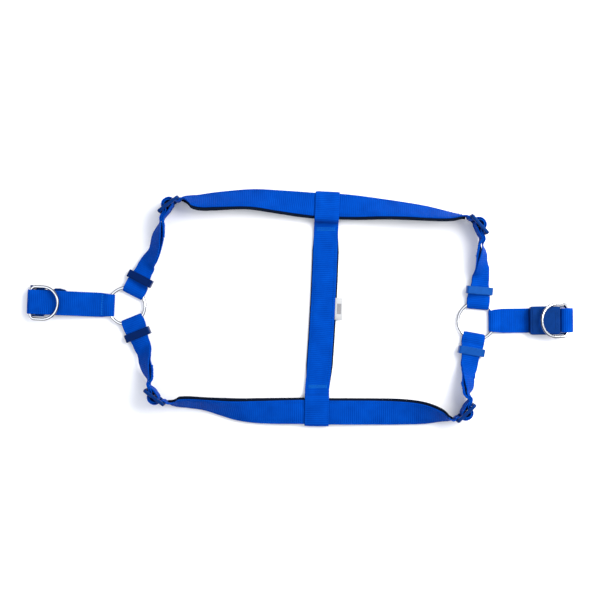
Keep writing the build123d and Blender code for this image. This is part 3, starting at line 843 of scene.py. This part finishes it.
def build_crossbar():
    """The crossbar's webbing, its lining, edge stitches and bar tacks."""
    webbing = ribbon("crossbar_webbing_strap", crossbar_rows(), WEBBING, wander=0.1)
    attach(webbing, "root")
    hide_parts("crossbar_webbing")
    line = [
        row(crossbar_x(y) + 0.3, y, LINING_T / 2 + 0.02, (1.0, -0.035, 0.0))
        for y in np.linspace(-80.5, 81.5, 9)
    ]
    rows = smooth_rows(line, STEP)
    ends = np.minimum(np.arange(len(rows)), np.arange(len(rows))[::-1]) * STEP
    taper = 0.88 + 0.12 * np.clip(ends / 22.0, 0.0, 1.0)
    lining = ribbon(
        "crossbar_neoprene", rows, NEOPRENE, LINING_W, LINING_T, ribs=False, widths=taper,
        wander=0.12, profile=foam_profile
    )
    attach(lining, "root")
    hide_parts("crossbar_lining")
    top = rows.copy()
    top[:, 2] = CROSS_Z + WEB_T / 2 + SEAM_LIFT
    seam = edge_stitches("crossbar_edge_stitches", top, (-10.2, 9.6), THREAD, margin=6.0)
    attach(seam, "root")
    for which, y, node in (
        ("upper", 82.1, "crossbar_upper_stitches"), ("lower", -80.1, "crossbar_lower_stitches")
    ):
        sewn = stitches(
            f"{node}_thread", tack_places(crossbar_x(y), y, CROSS_Z + WEB_T / 2 + 0.04), TACK_THREAD
        )
        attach(sewn, "root")
        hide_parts(node)


def tack_places(x, y, z, half_width=8.6, rows=3, pitch=0.95):
    """A bar tack: close short stitches in rows across the strap."""
    places = []
    for number in range(rows):
        for a in np.arange(-half_width, half_width + 0.1, pitch * 2):
            place = np.array([x + a + RNG.uniform(-0.1, 0.1), y + (number - (rows - 1) / 2) * 1.3, z])
            places.append((place, np.array([1.0, -0.04, 0.0]), np.array([0.0, 0.0, 1.0])))
    return places


# ---- label ---------------------------------------------------------------------------------


def build_label():
    """A tape folded in two, out of the crossbar's edge seam and down to the ground."""
    low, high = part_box("label")
    x0, x1 = low[0] / MM, high[0] / MM
    y = (low[1] + high[1]) / 2 / MM
    way = [
        (x0 + 0.3, 3.05), (x0 + 2.4, 3.1), (x0 + 4.8, 2.55), (x1 - 0.4, 1.7), (x1 + 0.2, 1.35),
        (x1 - 0.4, 1.15), (x0 + 4.8, 2.1), (x0 + 2.4, 2.75), (x0 + 0.3, 2.8)
    ]
    rows = smooth_rows([row(x, y - 0.04 * (x - x0), z, (0.04, 1.0, 0.0)) for x, z in way], STEP)
    tape = ribbon(
        "folded_label", rows, LABEL, 22.6, 0.22, ribs=False, wander=0.1, profile=tape_profile
    )
    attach(tape, "root")
    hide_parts("label")


def tape_profile(width, thick):
    """A flat tape's outline."""
    return [
        (width * s, thick * (0.0 if abs(s) == 0.5 else 0.5))
        for s in (-0.5, -0.495, -0.3, -0.1, 0.1, 0.3, 0.495, 0.5)
    ]


# ---- rings ---------------------------------------------------------------------------------


def build_o_ring(node, body):
    """A welded wire ring, with the weld's slight swelling."""
    centre = box_centre(node)
    turns = np.linspace(0, 2 * math.pi, 160, endpoint=False)
    points = [centre + RING_R * np.array([math.cos(t), math.sin(t), 0.0]) for t in turns]
    weld = math.radians(20.0 if body.startswith("left") else 150.0)
    swelling = [
        WIRE_R + 0.14 * math.exp(-(((t - weld + math.pi) % (2 * math.pi) - math.pi) / 0.05) ** 2)
        for t in turns
    ]
    ring = tube(f"{node}_wire", points, np.array(swelling), STEEL)
    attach(ring, body)
    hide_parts(node)


D_HALF, D_DEPTH, D_CORNER = 16.6, 29.8, 4.8


def d_outline():
    """The D-ring's centreline: straight bar, round corners, half-round bow."""
    side = D_DEPTH - D_HALF
    points = [(0.0, a) for a in np.linspace(-D_HALF + D_CORNER, D_HALF - D_CORNER, 24)]
    corner = [
        (D_CORNER - D_CORNER * math.cos(t), D_HALF - D_CORNER + D_CORNER * math.sin(t))
        for t in np.linspace(0, math.pi / 2, 10)[1:]
    ]
    straight = [(s, D_HALF) for s in np.linspace(D_CORNER, side, 5)[1:-1]]
    bow = [
        (side + D_HALF * math.cos(t), D_HALF * math.sin(t))
        for t in np.linspace(math.pi / 2, -math.pi / 2, 60)
    ]
    back = [(s, -a) for s, a in reversed(corner + straight)]
    return points + corner + straight + bow + back


def build_d_ring(node, body, pivot, angle, tilt):
    """A D-ring with its bar on the pivot and its bow back towards the O-ring, tilted up."""
    a, t = math.radians(angle), math.radians(tilt)
    inward = np.array([-math.cos(a) * math.cos(t), -math.sin(a) * math.cos(t), math.sin(t)])
    side = np.array([-math.sin(a), math.cos(a), 0.0])
    points = [pivot + inward * s + side * w for s, w in d_outline()]
    ring = tube(f"{node}_wire", points, WIRE_R, STEEL, up=np.cross(inward, side))
    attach(ring, body)
    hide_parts(node)


# ---- tabs ----------------------------------------------------------------------------------


def tab_rows(ring, angle, way):
    """Rows of a tab from points of (distance, height)."""
    across = (-math.sin(math.radians(angle)), math.cos(math.radians(angle)), 0.0)
    return smooth_rows([row(*polar(ring, angle, u), z, across) for u, z in way], STEP)


def round_points(u, z, radius, start, stop, count):
    """Points on an arc of a tab's profile."""
    return [
        (u + radius * math.cos(math.radians(a)), z + radius * math.sin(math.radians(a)))
        for a in np.linspace(start, stop, count)
    ]


RING_FOLD = [
    (24.8, -1.0), (21.4, -2.05), (18.8, -2.6), (16.6, -2.42), (14.6, -1.8), (13.3, -0.9),
    (12.9, 0.0), (13.3, 0.9), (14.6, 1.8), (16.6, 2.42), (18.8, 2.6), (21.4, 2.05), (24.8, 1.0)
]


def build_tab(side, ring, angle, body_way, stitch_spots):
    """A doubled tab of webbing from its ring to its end loop, which bends where it leaves the ring."""
    half = LAYER / 2
    fold = [(u, RING_Z + w) for u, w in RING_FOLD]
    rows = tab_rows(
        ring, angle,
        [(28.5, RING_Z - half)] + fold + [(28.5, RING_Z + half)] + body_way + [(30.3, RING_Z - half)]
    )
    reach = (rows[:, :2] - np.array(ring)[None, :]) @ polar((0, 0), angle, 1.0)
    bunched = np.clip((28.0 - reach) / 14.0, 0.0, 1.0)
    widths = 1.0 - 0.1 * bunched * bunched * (3 - 2 * bunched)
    webbing = ribbon(f"{side}_tab_webbing", rows, WEBBING, widths=widths)
    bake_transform(webbing)
    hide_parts(f"{side}_tab")
    across = np.append(polar((0, 0), angle + 90, 1.0), 0.0)
    forward = np.append(polar((0, 0), angle, 1.0), 0.0)
    places = []
    for u, a, z, way in stitch_spots:
        point = np.append(polar(ring, angle, u, a), z + WEB_T / 2 + SEAM_LIFT)
        places.append((point, across if way == "across" else forward, np.array([0.0, 0.0, 1.0])))
    sewn = stitches(f"{side}_tab_thread", places, TACK_THREAD if side == "left" else THREAD)
    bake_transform(sewn)
    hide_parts(f"{side}_tab_stitches")


def stitch_line(u, z, half_width=9.6, pitch=2.4):
    """One line of stitches across a tab."""
    return [(u, a, z, "across") for a in np.arange(-half_width, half_width + 0.1, pitch)]


def stitch_box(u0, u1, z, half_width=9.6, pitch=2.4):
    """A sewn box, as four lines of stitches."""
    spots = stitch_line(u0, z, half_width) + stitch_line(u1, z, half_width)
    for u in np.arange(u0 + pitch, u1 - 0.5, pitch):
        spots += [(u, half_width, z, "along"), (u, -half_width, z, "along")]
    return spots


def build_tabs():
    """Both tabs, with an end loop round the bars of each one's fittings."""
    half = LAYER / 2
    pivot_d = joint_point("left_d_ring_swing")
    pivot_m = joint_point("male_buckle_swing")
    tail = 8.2
    loop = 2.75
    left_way = [
        (34.0, RING_Z + half + 0.7), (46.0, 6.6 + half), (56.0, tail + half), (76.0, tail + half),
        (LEFT_BAR_U - 7.5, tail + half)
    ]
    left_way += [(LEFT_BAR_U - 3.4, pivot_d[2] + 2.15)]
    left_way += round_points(LEFT_BAR_U, pivot_d[2], loop, 95, 0, 5)
    left_way += round_points(LEFT_BAR_U, pivot_m[2], loop, 0, -160, 7)
    left_way += [
        (LEFT_BAR_U - 2.9, 5.4), (LEFT_BAR_U - 5.6, tail - half - 0.2),
        (LEFT_BAR_U - 10.0, tail - half), (76.0, tail - half), (56.0, tail - half),
        (46.0, 6.6 - half), (34.0, RING_Z - half + 0.7)
    ]
    build_tab(
        "left", LEFT_RING, LEFT_TAB_ANGLE, left_way,
        stitch_line(23.9, RING_Z + half) + stitch_line(25.4, RING_Z + half)
    )

    centre = joint_point("female_buckle_swing")
    turn = 6.0
    low = centre[2] - turn
    top = low + LAYER
    right_way = [
        (33.0, top + 0.9), (38.0, top + 0.1), (44.0, top), (60.0, top), (78.0, top),
        (RIGHT_BAR_U - 10.0, top + 0.05)
    ]
    right_way += [(RIGHT_BAR_U - 7.4, top + 1.2)]
    right_way += round_points(RIGHT_BAR_U, centre[2], turn, 190, -90, 15)
    right_way += [
        (RIGHT_BAR_U - 6.0, low - 0.05), (78.0, low), (60.0, low), (44.0, low), (38.0, low + 0.3)
    ]
    build_tab(
        "right", RIGHT_RING, RIGHT_TAB_ANGLE, right_way,
        stitch_line(26.0, RING_Z + half) + stitch_box(40.0, 50.0, top)
    )


# ---- hard pieces that keep their CAD shape --------------------------------------------------


def paint_cad():
    """Gives each CAD node that stays its moulded plastic."""
    # The left keepers get the darker copy of the plastic as painted shade, the right keepers the paler copy as
    # painted light.
    keeper = {"left": PAINTED_SHADE_PLASTIC, "right": PAINTED_LIGHT_PLASTIC}
    for node, obj in frame["nodes"].items():
        if obj.hide_render:
            continue
        obj.data.materials.clear()
        obj.data.materials.append(keeper[node.split("_")[1]] if "keeper" in node else PLASTIC)


# ---- floor, light and camera ----------------------------------------------------------------


def build_studio():
    """White paper floor, two lamps and a pale sky."""
    size = 3.0
    mesh = bpy.data.meshes.new("floor")
    mesh.from_pydata(
        [(-size, -size, 0), (size, -size, 0), (size, size, 0), (-size, size, 0)], [], [(0, 1, 2, 3)]
    )
    floor = bpy.data.objects.new("floor", mesh)
    bpy.context.scene.collection.objects.link(floor)
    floor.location.z = -0.0002
    n = Nodes("floor_paper")
    n.set(Base_Color=(0.93, 0.93, 0.945, 1.0), Roughness=0.9, Specular_IOR_Level=0.1)
    mesh.materials.append(n.material)

    def lamp(name, place, aim, width, energy, colour):
        data = bpy.data.lights.new(name, "AREA")
        data.shape = "DISK"
        data.size = width
        data.energy = energy
        data.color = colour
        obj = bpy.data.objects.new(name, data)
        obj.location = place
        obj.rotation_mode = "QUATERNION"
        obj.rotation_quaternion = (Vector(aim) - Vector(place)).to_track_quat("-Z", "Y")
        bpy.context.scene.collection.objects.link(obj)

    lamp("key", (0.75, 0.45, 0.90), (0.0, 0.0, 0.0), 1.0, 22.5, (1.0, 0.985, 0.96))
    lamp("fill", (-1.0, -0.2, 1.5), (0.0, 0.0, 0.0), 1.4, 2.0, (0.86, 0.91, 1.0))

    world = bpy.data.worlds.new("studio")
    world.use_nodes = True
    tree = world.node_tree
    background = tree.nodes["Background"]
    coordinates = tree.nodes.new("ShaderNodeTexCoord")
    split = tree.nodes.new("ShaderNodeSeparateXYZ")
    ramp = tree.nodes.new("ShaderNodeValToRGB")
    tree.links.new(coordinates.outputs["Generated"], split.inputs[0])
    tree.links.new(split.outputs[2], ramp.inputs[0])
    tree.links.new(ramp.outputs[0], background.inputs[0])
    stops = ramp.color_ramp
    stops.elements[0].position = 0.3
    stops.elements[0].color = (0.05, 0.052, 0.06, 1.0)
    stops.elements[1].position = 0.6
    stops.elements[1].color = (0.91, 0.94, 1.0, 1.0)
    background.inputs[1].default_value = 1.2
    bpy.context.scene.world = world
    bpy.context.scene.view_settings.view_transform = "Standard"
    bpy.context.scene.view_settings.look = "None"


def build_camera():
    """Straight above, centred a little off the crossbar, with a long lens."""
    view_width = 0.618
    centre = (-0.0237, 0.0090)
    data = bpy.data.cameras.new("camera")
    data.lens = 85.0
    data.sensor_width = 36.0
    camera = bpy.data.objects.new("camera", data)
    camera.location = (
        centre[0], centre[1], view_width / 2 / (data.sensor_width / 2 / data.lens) + 0.004
    )
    bpy.context.scene.collection.objects.link(camera)
    bpy.context.scene.camera = camera


# ---- everything -----------------------------------------------------------------------------

for corner_name in CORNERS:
    corner = Corner(corner_name)
    corner.build_riser()
    corner.build_run()
build_crossbar()
build_label()
build_o_ring("left_o_ring", "left_ring")
build_o_ring("right_o_ring", "right_ring")
build_d_ring("left_d_ring", "left_d_ring", joint_point("left_d_ring_swing"), LEFT_TAB_ANGLE, 13.0)
build_d_ring(
    "right_d_ring", "right_d_ring", joint_point("right_d_ring_swing"), RIGHT_TAB_ANGLE, 22.0
)
build_tabs()
paint_cad()
build_studio()
build_camera()
